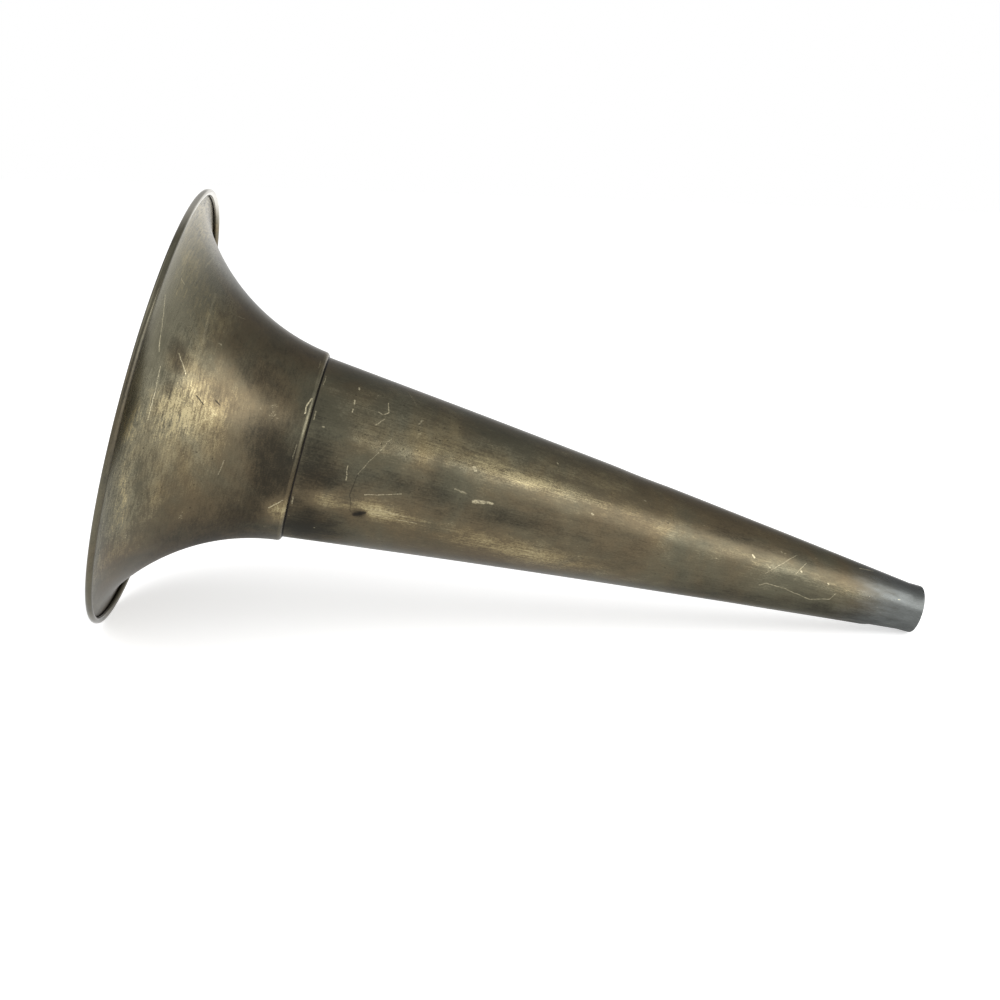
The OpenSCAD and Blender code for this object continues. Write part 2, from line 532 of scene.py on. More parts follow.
def face_outwards(mesh):
    work = bmesh.new()
    work.from_mesh(mesh)
    bmesh.ops.recalc_face_normals(work, faces=work.faces)
    work.to_mesh(mesh)
    work.free()


def plain_section(ring):
    """A closed section with no run along its sheet and no inner face."""
    return ring, np.zeros(len(ring)), np.zeros(len(ring))


def turned_piece(context, name, section, material, waviness=0.0, seed=1.0):
    """A piece turned from a closed section of radius and place along the axis."""
    points, runs, flags = section
    count = len(points)
    mesh = bpy.data.meshes.new(name + "_section")
    mesh.from_pydata([(r - HUB_RADIUS, -z, 0) for r, z in points],
                     [(i, (i + 1) % count) for i in range(count)], [])
    put_values(mesh, RUN, runs)
    put_values(mesh, INNER, flags)
    piece = linked(context, name, mesh)
    tree = bpy.data.node_groups.get("Turned Sheet") or turned_sheet_tree()
    modifier = piece.modifiers.new("Turned Sheet", "NODES")
    modifier.node_group = tree
    values = {"Segments": context.scene.horn_sizes.segments, "Hub Radius": HUB_RADIUS,
              "Waviness": waviness, "Waves Per Metre": BELL_WAVES, "Seed": seed, "Material": material}
    for socket in tree.interface.items_tree:
        if socket.name in values:
            modifier[socket.identifier] = values[socket.name]
    evaluated = piece.evaluated_get(context.evaluated_depsgraph_get())
    piece.data = bpy.data.meshes.new_from_object(evaluated)
    piece.data.name = name
    piece.modifiers.clear()
    bpy.data.meshes.remove(mesh)
    face_outwards(piece.data)
    return piece


def woven_faces(rows, columns):
    """Quads of a closed tube of rows, each row a closed ring of columns, whose last row meets its first."""
    faces = []
    for i in range(rows):
        below = i * columns
        above = (i + 1) % rows * columns
        for j in range(columns):
            k = (j + 1) % columns
            faces.append((below + j, below + k, above + k, above + j))
    return faces


def press_dents(mesh, dents):
    """Pushes shallow dents towards the axis, each given by turn, run, reach and depth."""
    turn, run = turn_and_run(mesh)
    points = point_rows(mesh)
    out = np.linalg.norm(points[:, :2], axis=1)
    for dent_turn, dent_run, reach, depth in dents:
        across = np.radians(turn - dent_turn) * out / MM
        far = np.hypot(across, run - dent_run) / reach
        fall = np.clip(1 - far * far, 0, None) ** 2
        points[:, :2] *= (1 - depth * MM * fall / out)[:, None]
    mesh.vertices.foreach_set("co", points.astype(np.float32).ravel())
    mesh.update()


def paint(mesh, name, patches):
    """Adds up soft patches into one value for each vertex."""
    turn, run = turn_and_run(mesh)
    total = np.zeros(len(turn))
    for patch_turn, patch_run, reach_turn, reach_run, amount in patches:
        around = (turn - patch_turn + 180) % 360 - 180
        total += amount * np.exp(-(around / reach_turn) ** 2 - ((run - patch_run) / reach_run) ** 2)
    put_values(mesh, name, total)


def place_piece(piece, node):
    """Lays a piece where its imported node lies, and hands it to the frame."""
    piece.data.transform(LYING)
    low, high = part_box(node)
    points = point_rows(piece.data)
    short = (points.min(0) < np.array(low) - PLACE_SPARE).any()
    long = (points.max(0) > np.array(high) + PLACE_SPARE).any()
    if short or long:
        raise RuntimeError(f"{piece.name} doesn't lie where {node} does")
    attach(piece, BODY)
    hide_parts(node)
    return piece


# Finishes

# Steps to a metre of the patterns that lie in space, and depths of the finest relief
CLOUD_STEPS = 30.0
TINT_STEPS = 26.0
PIT_STEPS = 260.0
SHAKE_STEPS = 420.0
SHAKE_REACH = 0.9 * MM
BRASS_RELIEF = 0.08 * MM
DULL_RELIEF = 0.1 * MM
# Ranges, with what they become where that isn't 0 and 1: in which cool tarnish calms the patterns, the tint
# turns, the darkest tarnish lifts, the rest thins, and the metal shows
COOL_CALMS = (0.05, 0.3, 1.0, 0.3)
TINT_TURNS = (0.32, 0.68)
TARNISH_LIFTS = (-0.2, 0.38)
TARNISH_THINS = (0.32, 0.62)
METAL_SHOWS = (0.6, 1.0)
# How far the sheet is rubbed on the whole, and how much less on its inner face
MEAN_RUBBED = 0.3
INNER_RUBBED = -0.2
# Roughness by rubbing, its change on dark crust, on a polished edge and on the stain, the wear that marks
# crust and polish, and the length of the stain's fade
RUBBED_ROUGHNESS = (0.0, 1.0, 0.31, 0.24)
CRUST_WEAR = (-0.26, -0.04, 1.0, 0.0)
CRUST_ROUGHER = 0.28
POLISH_WEAR = (0.12, 0.4, 0.03, 1.0)
POLISH_SMOOTHER = 0.15
STAIN_SMOOTHER = 0.02
STAIN_FADE = 30 * MM
# Scratches: share of the width with full cover, grain that breaks them, and a run to read the slope over
SCRATCH_CORE = 0.35
SCRATCH_BREAKS = (0.36, 0.6, 0.2, 1.0)
SLOPE_RUN = 0.1
# Nicks, pits and flecks: ranges of the patterns that make them, and their cover
NICK_MOTTLE = (0.66, 0.72)
NICK_GRAIN = (0.5, 0.62)
NICK_COVER = 0.5
PIT_EDGE = (0.06, 0.16, 1.0, 0.0)
PIT_CLOUDS = (0.48, 0.62)
FLECK_STREAKS = (0.3, 0.38, 1.0, 0.0)
FLECK_WEAR = (0.2, 0.6)
PIT_COVER = 0.6
# Shader: share of metal by rubbing, wear that lifts the glint, and mottle of dull metal
METAL_SHARE = (0.0, 0.8, 0.88, 1.0)
GLINT_WEAR = (-0.15, 0.3)
DULL_MOTTLE = (0.3, 0.7)


class SheetLook(NamedTuple):
    """How one sheet is worked and worn. Runs are in metres from the neck's edge."""

    streak_steps: tuple
    mottle_steps: tuple
    grain_steps: tuple
    radius_at: Callable
    scratches: tuple
    gouges: tuple
    rubbed_edges: tuple
    polished_edges: tuple
    # Runs between which dark colour paints shade into creases and joints
    painted_crease_shade: tuple
    stain_run: float | None


def scratch_group():
    """Shader group that adds a straight scratch. A place's X and Y lie on the sheet, its Z is the cover."""
    name = "Scratch"
    if name in bpy.data.node_groups:
        return bpy.data.node_groups[name]
    tree, given = named_group(name, "ShaderNodeTree", ("Place", "Vector"), Place="Vector", Start="Vector",
                              End="Vector", Width="Float", Strength="Float")
    flat = vector_node(tree, "MULTIPLY", given["Place"], (1, 1, 0))
    offset = vector_node(tree, "SUBTRACT", flat, given["Start"])
    length = vector_node(tree, "SUBTRACT", given["End"], given["Start"])
    reach = vector_node(tree, "DOT_PRODUCT", offset, length)
    whole = vector_node(tree, "DOT_PRODUCT", length, length)
    share = math_node(tree, "DIVIDE", reach, whole, clamp=True)
    distance = vector_node(tree, "DISTANCE", offset, scaled_vector(tree, length, share))
    core = times(tree, given["Width"], SCRATCH_CORE)
    cover = remap(tree, distance, core, given["Width"], given["Strength"], 0.0)
    parts = split(tree, given["Place"])
    most = math_node(tree, "MAXIMUM", parts["Z"], cover)
    add_node(tree, "NodeGroupOutput", {"Place": joined(tree, X=parts["X"], Y=parts["Y"], Z=most)})
    return tree


def scratches_on(tree, place, radius_at, scratches):
    """Largest cover of listed scratches. Their points are turns in degrees and runs in millimetres."""
    for width, strength, points in scratches:
        spots = [(math.radians(turn) * radius_at(run * MM), run * MM, 0) for turn, run in points]
        for start, end in zip(spots, spots[1:]):
            node = add_node(tree, "ShaderNodeGroup", node_tree=scratch_group())
            set_inputs(tree, node, {"Place": place, "Start": start, "End": end, "Width": width * MM,
                                    "Strength": strength})
            place = node.outputs["Place"]
    return split(tree, place)["Z"]


def weighted(tree, middle, *patterns):
    """A middle value that patterns, each about a half, raise and lower by their weights."""
    total = middle - sum(weight for _, weight in patterns) / 2
    for pattern, weight in patterns:
        total = math_node(tree, "MULTIPLY_ADD", pattern, weight, total)
    return total


def band(tree, run, start, end, soft=0.2 * MM):
    """1 between two places along the sheet and 0 elsewhere, with soft edges."""
    rising = remap(tree, run, start - soft, start + soft)
    falling = remap(tree, run, end - soft, end + soft, 1.0, 0.0)
    return times(tree, rising, falling)


def empty_material(name):
    """A material whose node tree is empty."""
    material = bpy.data.materials.new(name)
    material.use_nodes = True
    material.node_tree.nodes.clear()
    return material


def metal_surface(tree, relief, strength, depth, inputs):
    """The metal's shader, over its relief, as the material's surface."""
    bump = add_node(tree, "ShaderNodeBump", {"Strength": strength, "Distance": depth, "Height": relief})
    shader = add_node(tree, "ShaderNodeBsdfPrincipled", {**inputs, "Normal": bump.outputs["Normal"]})
    add_node(tree, "ShaderNodeOutputMaterial", {"Surface": shader.outputs["BSDF"]})


def scratch_place(tree, sheet, turn, run, space):
    """Place on the unrolled sheet, shaken a little so that no scratch is a clean line."""
    start, further = sheet.radius_at(0.0), sheet.radius_at(SLOPE_RUN)
    radius = times_plus(tree, run, (further - start) / SLOPE_RUN, start)
    place = joined(tree, X=times(tree, turn, radius), Y=run)
    shake = add_node(tree, "ShaderNodeTexNoise", {"Vector": space, "Scale": SHAKE_STEPS, "Detail": 2.0})
    shake = vector_node(tree, "SUBTRACT", shake.outputs["Color"], (0.5, 0.5, 0.5))
    shake = vector_node(tree, "MULTIPLY", shake, (SHAKE_REACH, SHAKE_REACH, 0))
    return vector_node(tree, "ADD", place, shake)


def brass_finish(name, finish, sheet):
    """Tarnished brass, rubbed thin in places, with streaks, scratches, pits, dirt in gouges and painted
    shade in creases.
    """
    material = empty_material(name)
    tree = material.node_tree

    # Coordinates: on the sheet, and in space
    lathe = add_node(tree, "ShaderNodeAttribute", attribute_name=LATHE).outputs["Vector"]
    wear_and_shade, cool, inner = (add_node(tree, "ShaderNodeAttribute", attribute_name=value).outputs["Fac"]
                         for value in (WEAR_AND_SHADE, COOL, INNER))
    space = add_node(tree, "ShaderNodeTexCoord").outputs["Object"]
    parts = split(tree, lathe)
    turn = math_node(tree, "ARCTAN2", parts["Y"], parts["X"])
    run = parts["Z"]
    outside = math_node(tree, "SUBTRACT", 1.0, inner)

    # Patterns, from clouds of tarnish down to the grain of the metal. Streaks follow the tool.
    streaks, mottle, grain = (
        noise_node(tree, vector_node(tree, "MULTIPLY", lathe, steps), 1.0, detail, roughness)
        for steps, detail, roughness in ((sheet.streak_steps, 4.0, 0.65), (sheet.mottle_steps, 5.0, 0.65),
                                         (sheet.grain_steps, 3.0, 0.7)))
    clouds = noise_node(tree, space, CLOUD_STEPS, 6.0, 0.6, 0.6)
    tint = math_node(tree, "ADD", noise_node(tree, space, TINT_STEPS, 5.0, 0.6, 0.5), cool)

    # How far the tarnish is rubbed away: 0 is the darkest tarnish and 1 is worn metal.
    # Cooler tarnish is more even.
    calm = remap(tree, cool, *COOL_CALMS)
    rubbed = weighted(tree, 0.0, (clouds, 0.8), (mottle, 0.46), (grain, 0.5), (streaks, 0.4))
    rubbed = times_plus(tree, rubbed, calm, MEAN_RUBBED)
    texture = weighted(tree, 0.0, (streaks, 3.0), (mottle, 1.8), (grain, 1.8))
    texture = times_plus(tree, texture, calm, 1.0)
    rubbed = times_plus(tree, math_node(tree, "MAXIMUM", wear_and_shade, 0.0), texture, rubbed)
    # Negative wear darkens the tarnish into crust; along the underside this is painted shade
    rubbed = math_node(tree, "ADD", rubbed, math_node(tree, "MINIMUM", wear_and_shade, 0.0))
    rubbed = times_plus(tree, inner, INNER_RUBBED, rubbed)
    for start, end, soft, amount in sheet.rubbed_edges:
        edge = times(tree, band(tree, run, start, end, soft), outside)
        rubbed = times_plus(tree, edge, amount, rubbed)

    cooler = remap(tree, tint, *TINT_TURNS)
    colour = mix_colour(tree, cooler, finish.dark_patina, finish.black_patina)
    patina = mix_colour(tree, cooler, finish.brown_patina, finish.olive_patina)
    colour = mix_colour(tree, remap(tree, rubbed, *TARNISH_LIFTS), colour, patina)
    patina = mix_colour(tree, cooler, finish.thin_patina, finish.grey_patina)
    colour = mix_colour(tree, remap(tree, rubbed, *TARNISH_THINS), colour, patina)
    colour = mix_colour(tree, remap(tree, rubbed, *METAL_SHOWS), colour, finish.worn_brass)
    roughness = remap(tree, rubbed, *RUBBED_ROUGHNESS)
    roughness = times_plus(tree, remap(tree, wear_and_shade, *CRUST_WEAR), CRUST_ROUGHER, roughness)

    # Edges that hands have kept smooth, and bright where they are rubbed
    for start, end in sheet.polished_edges:
        edge = times(tree, band(tree, run, start, end), outside)
        roughness = times_plus(tree, edge, -POLISH_SMOOTHER, roughness)
        edge = times(tree, edge, remap(tree, wear_and_shade, *POLISH_WEAR))
        colour = mix_colour(tree, edge, colour, finish.polished_rim)

    # Where a hose sat
    if sheet.stain_run is not None:
        edge = weighted(tree, 0.0, (mottle, 14 * MM), (clouds, 30 * MM))
        edge = math_node(tree, "ADD", edge, run)
        stained = remap(tree, edge, sheet.stain_run, sheet.stain_run + STAIN_FADE)
        shade = weighted(tree, 0.9, (mottle, 1.0), (grain, 0.7))
        grey = mix_colour(tree, times(tree, shade, 0.5, clamp=True), finish.grime_and_crease_shade,
                          [2 * c for c in finish.hose_stain])
        colour = mix_colour(tree, stained, colour, grey)
        roughness = times_plus(tree, stained, -STAIN_SMOOTHER, roughness)

    # Painted shade: dark colour laid along the crease behind the rim and the cone's joint at the neck
    for start, end in sheet.painted_crease_shade:
        edge = times(tree, band(tree, run, start, end), outside)
        colour = mix_colour(tree, edge, colour, finish.grime_and_crease_shade)

    # Scratches, broken up along their length, small nicks, and gouges that hold dirt
    place = scratch_place(tree, sheet, turn, run, space)
    breaks = remap(tree, grain, *SCRATCH_BREAKS)
    bare = times(tree, scratches_on(tree, place, sheet.radius_at, sheet.scratches), breaks)
    nicks = times(tree, remap(tree, mottle, *NICK_MOTTLE), remap(tree, grain, *NICK_GRAIN))
    bare = math_node(tree, "MAXIMUM", bare, times(tree, nicks, NICK_COVER))
    bare = times(tree, bare, outside)
    dark = times(tree, scratches_on(tree, place, sheet.radius_at, sheet.gouges), outside)
    colour = mix_colour(tree, bare, colour, finish.bare_brass)
    colour = mix_colour(tree, dark, colour, finish.grime_and_crease_shade)

    # Pits, and flecks of tarnish left where the metal is rubbed
    pits = add_node(tree, "ShaderNodeTexVoronoi", {"Vector": space, "Scale": PIT_STEPS})
    pit = remap(tree, pits.outputs["Distance"], *PIT_EDGE)
    pit = times(tree, pit, remap(tree, clouds, *PIT_CLOUDS))
    fleck = times(tree, remap(tree, streaks, *FLECK_STREAKS), remap(tree, wear_and_shade, *FLECK_WEAR))
    pit = times(tree, math_node(tree, "MAXIMUM", pit, fleck), PIT_COVER)
    colour = mix_colour(tree, pit, colour, finish.dark_patina)

    relief = weighted(tree, 0.0, (streaks, 0.4), (mottle, 0.8), (grain, 0.3), (pit, -1.0), (bare, -0.8))
    metal_surface(tree, relief, 0.5, BRASS_RELIEF, {
        "Base Color": colour, "Metallic": remap(tree, rubbed, *METAL_SHARE),
        "Roughness": roughness,
        "Specular Tint": remap(tree, wear_and_shade, *GLINT_WEAR, finish.tarnish_glint, 1.0),
        "Coat Weight": 0.06, "Coat Roughness": 0.2})
    return material


def dull_metal(name, colour, roughness, scale):
    """Dull metal with mottled tarnish, for the wire and the solder."""
    material = empty_material(name)
    tree = material.node_tree
    space = add_node(tree, "ShaderNodeTexCoord").outputs["Object"]
    mottle = noise_node(tree, space, scale, 5.0, 0.6)
    dark = [c * 0.45 for c in colour]
    shade = mix_colour(tree, remap(tree, mottle, *DULL_MOTTLE), dark, colour)
    rough = remap(tree, mottle, *DULL_MOTTLE, roughness + 0.12, roughness)
    metal_surface(tree, mottle, 0.6, DULL_RELIEF,
                  {"Base Color": shade, "Metallic": 1.0, "Roughness": rough})
    return material


# Wear on the bell, and painted shade on its underside. Turns are in degrees from the viewer's side towards
# the top, and runs in millimetres from the neck's edge. Patches: turn, run, reach round, reach along,
# amount.
BELL_WEAR_AND_SHADE = (
    (14, 56, 12, 15, 0.56),
    (12, 40, 13, 10, 0.15),
    (27, 32, 9, 9, 0.16),
    (0, 60, 12, 10, 0.06),
    (5, 84, 42, 10, 0.25),
    (10, 80, 8, 5, 0.2),
    (34, 82, 8, 5, -0.06),
    (93, 97, 30, 5, 0.4),
    (92, 84, 12, 8, 0.14),
    (5, 97.5, 50, 3.5, -0.25),
    (-32, 72, 26, 17, 0.16),
    (87, 84, 28, 18, 0.42),
    (58, 66, 22, 20, 0.36),
    (34, 28, 14, 18, -0.14),
    (48, 24, 12, 20, -0.1),
    (-14, 74, 15, 4, 0.2),
    (-22, 58, 8, 3, 0.12),
    (40, 55, 14, 3, 0.1),
    (-30, 4, 9, 5, 0.6),
    (62, 22, 26, 18, -0.02),
    (-4, 7, 19, 12, -0.34),
    (12, 18, 16, 12, -0.12),
    # Painted shade: darker crust on the underside, standing in for the shadowed table it mirrors
    (-62, 35, 32, 40, -0.22),
    (-30, 14, 20, 14, -0.16),
)
# Lean to the cooler tarnish where the amount is above zero, and to the warmer one below it
BELL_COOL = (
    (65, 74, 30, 26, 0.3),
    (5, 88, 45, 6, 0.25),
    (27, 77, 16, 9, 0.24),
    (-39, 55, 12, 10, 0.08),
    (-5, 10, 20, 10, -0.06),
    (-34, 20, 14, 12, -0.14),
    (-58, 78, 20, 10, -0.14),
    (52, 30, 25, 22, -0.06),
    (-27, 5, 10, 6, -0.1),
)
# Scratches: width, strength, and points of turn and run
BELL_SCRATCHES = (
    (0.3, 0.4, ((43, 81), (38, 78), (30, 75))),
    (0.4, 0.6, ((30, 75), (28, 74))),
    (0.26, 0.5, ((24, 71), (16, 70))),
    (0.36, 0.7, ((16, 70), (8, 70))),
    (0.34, 0.7, ((31, 64), (29, 61), (26, 58))),
    (0.25, 0.3, ((65, 43), (67, 40))),
    (0.3, 0.35, ((53, 76), (53, 73))),
    (0.9, 0.14, ((64, 57), (52, 56), (40, 54.5))),
    (0.5, 0.18, ((81, 66), (70, 67))),
    (0.4, 0.8, ((40, 2), (34, 3.4), (30, 3))),
    (0.36, 0.7, ((-29, 8), (-22, 3))),
    (0.4, 0.2, ((-4, 31), (-11, 32))),
    (0.3, 0.2, ((72, 3.1), (64, 3))),
    (0.3, 0.2, ((12, 3), (4, 3.1))),
)
# Gouges and dark blots
BELL_GOUGES = (
    (0.5, 0.8, ((20, 50), (18, 46))),
    (0.5, 0.8, ((21, 41), (20, 39))),
    (6, 0.42, ((32, 66), (29, 62))),
    (3.6, 0.38, ((20, 64), (18, 63))),
)
BELL_DENTS = ((24, 62, 9, 0.2), (-35, 60, 16, 0.25), (70, 70, 14, 0.2), (150, 50, 15, 0.25))

# Wear on the cone, and painted shade on its underside; patches as on the bell
CONE_WEAR_AND_SHADE = (
    (33, 48, 10, 26, 0.15),
    (35, 78, 8, 20, 0.16),
    (31, 96, 6, 24, 0.5),
    (29, 140, 10, 26, 0.1),
    (20, 175, 11, 24, 0.04),
    (17, 225, 14, 30, 0.15),
    (7, 253, 12, 16, 0.2),
    (46, 70, 10, 60, 0.1),
    (28, 24, 10, 12, 0.09),
    (-18, 16, 6, 7, 0.5),
    (-19, 37, 6, 11, 0.5),
    (-21, 54, 6, 14, 0.12),
    (-26, 62, 10, 20, 0.04),
    (-30, 84, 10, 11, 0.3),
    (-34, 108, 13, 16, 0.4),
    (-42, 145, 14, 26, 0.15),
    (6, 9, 28, 10, -0.3),
    (4, 46, 10, 28, -0.26),
    (-4, 10, 9, 12, -0.15),
    (-4, 90, 10, 26, -0.25),
    # Painted shade: darker crust on the underside near the neck
    (-46, 8, 18, 18, -0.45),
    (68, 80, 18, 70, 0.03),
    (66, 180, 20, 70, 0.05),
    (40, 222, 12, 52, -0.16),
    # Painted shade: darker crust along the underside, standing in for the shadowed table it mirrors
    (-42, 218, 24, 60, -0.27),
    (-50, 276, 24, 20, -0.4),
    (-75, 120, 20, 140, -0.1),
    (-23, 30, 3.5, 3, -0.6),
)
CONE_COOL = (
    (20, 9, 24, 9, 0.1),
    (3, 52, 10, 28, 0.06),
    (28, 26, 12, 14, -0.16),
    (64, 70, 12, 46, 0.05),
    (-45, 6, 16, 10, 0.06),
    (50, 18, 12, 14, -0.1),
    (34, 75, 8, 40, -0.06),
    (-24, 30, 14, 24, -0.15),
    (-38, 120, 16, 55, -0.1),
)
CONE_SCRATCHES = (
    (0.5, 0.7, ((62, 16), (60, 16.3))),
    (0.45, 0.8, ((50, 16), (47, 16))),
    (0.35, 0.7, ((43, 16), (41, 16))),
    (0.28, 0.7, ((57, 30), (49, 31), (46, 29), (47, 27))),
    (0.28, 0.5, ((43, 30), (37, 27))),
    (0.2, 0.3, ((31, 35), (22, 32), (12, 28), (3, 25))),
    (0.3, 0.4, ((7, 20), (-2, 21))),
    (0.25, 0.4, ((-9, 30), (-6, 38), (-3, 45))),
    (0.22, 0.35, ((-22, 35), (-23, 55))),
    (0.22, 0.3, ((-18, 34), (-19, 50))),
    (1.15, 0.5, ((3.6, 76), (4.6, 80))),
    (0.7, 0.5, ((4.6, 80), (5.4, 84))),
    (0.5, 0.3, ((9, 67), (8, 72))),
    (0.4, 0.3, ((-20, 1.2), (-25, 1.3))),
    (0.35, 0.3, ((62, 1.3), (54, 1.2))),
    (0.4, 0.35, ((34, 1.2), (29, 1.4))),
    (0.9, 0.5, ((28, 72.5), (26, 73.5))),
    (0.5, 0.35, ((52, 46), (48, 45))),
    (0.2, 0.3, ((79, 37), (65, 42))),
    (0.65, 0.5, ((18, 128), (17.5, 128.5))),
    (0.55, 0.5, ((23, 204), (21, 205))),
    (0.45, 0.5, ((21, 228), (20, 228.5))),
    (0.45, 0.5, ((14, 242), (13, 242.5))),
    (0.4, 0.6, ((56, 108), (55, 108.5))),
    (0.22, 0.35, ((-14, 211), (-9, 214), (-11, 223), (-20, 236), (-12, 245), (0, 247))),
    (0.18, 0.3, ((15, 226), (36, 230))),
    (0.18, 0.3, ((4, 212), (44, 225))),
    (0.35, 0.6, ((65, 257), (73, 264))),
)
CONE_GOUGES = (
    (1.2, 0.8, ((-25, 28), (-22, 32))),
    (0.3, 0.5, ((3, 25), (-10, 24), (-23, 26))),
)
CONE_DENTS = ((-23, 30, 3.4, 0.22), (6, 54, 16, 0.22), (28, 120, 14, 0.12), (-28, 105, 18, 0.2),
              (95, 150, 16, 0.2), (170, 90, 20, 0.25))


# Pieces

# Length of the grey stain along the cone, rings along its faces and along the nipple's, columns in its lap,
# sides of the wire, and steps along the section of the ring of solder
STAIN_LENGTH = 38 * MM
OUTER_RINGS = (170, 7)
INNER_RINGS = (60, 5)
LAP_COLUMNS = 12
WIRE_SIDES = 18
JOINT_STEPS = 14
# Run of solder: stations and sides, lumps to a metre, and how far and to what share it thins at each end
SEAM_STATIONS = 150
SEAM_SIDES = 10
LUMPS_PER_METRE = 160
SOLDER_TAPER = 3 * MM
SOLDER_BLUNT = 0.25


class HORN_OT_bell(bpy.types.Operator):
    """Turn the bell from its sheet section: turned-in neck, flare and rolled rim"""

    bl_idname = "horn.bell"
    bl_label = "Bell"

    def execute(self, context):
        sizes = context.scene.horn_sizes
        curves = BellCurves(sizes)
        middle_r = (curves.rim_r + curves.lip_end_r) / 2
        lip_end, flare_end, curl_end = curves.run_marks()
        look = SheetLook(
            streak_steps=(12, 12, 1100), mottle_steps=(6, 6, 150),
            grain_steps=(110, 110, 1500), radius_at=lambda run: middle_r,
            scratches=BELL_SCRATCHES, gouges=BELL_GOUGES,
            rubbed_edges=((0, lip_end, 0.2 * MM, 0.2),
                          (flare_end - 8 * MM, flare_end - 3 * MM, 4 * MM, 0.06)),
            polished_edges=((flare_end + 0.5 * MM, curl_end - 0.3 * MM),),
            # Painted shade in the crease behind the rim and at the curl's tucked end
            painted_crease_shade=((flare_end - 1.6 * MM, flare_end + 0.3 * MM),
                         (curl_end - 0.1 * MM, curl_end + MM)),
            stain_run=None)
        brass = brass_finish("spun_brass", context.scene.horn_finish, look)
        piece = turned_piece(context, "spun_bell", curves.outline(), brass, sizes.waviness, seed=3.0)
        press_dents(piece.data, BELL_DENTS)
        paint(piece.data, WEAR_AND_SHADE, BELL_WEAR_AND_SHADE)
        paint(piece.data, COOL, BELL_COOL)
        place_piece(piece, "bell")
        return {"FINISHED"}


class HORN_OT_rim_wire(bpy.types.Operator):
    """Bend the iron wire that the rim is rolled over"""

    bl_idname = "horn.rim_wire"
    bl_label = "Rim Wire"

    def execute(self, context):
        sizes = context.scene.horn_sizes
        curves = BellCurves(sizes)
        ring = arc((curves.rim_r, curves.bead_r), sizes.wire_diameter / 2, 0, 2 * math.pi, WIRE_SIDES)
        iron = dull_metal("dull_iron", context.scene.horn_finish.iron, roughness=0.5, scale=500.0)
        piece = turned_piece(context, "iron_rim_wire", plain_section(ring[:-1]), iron)
        place_piece(piece, "rim_wire")
        return {"FINISHED"}


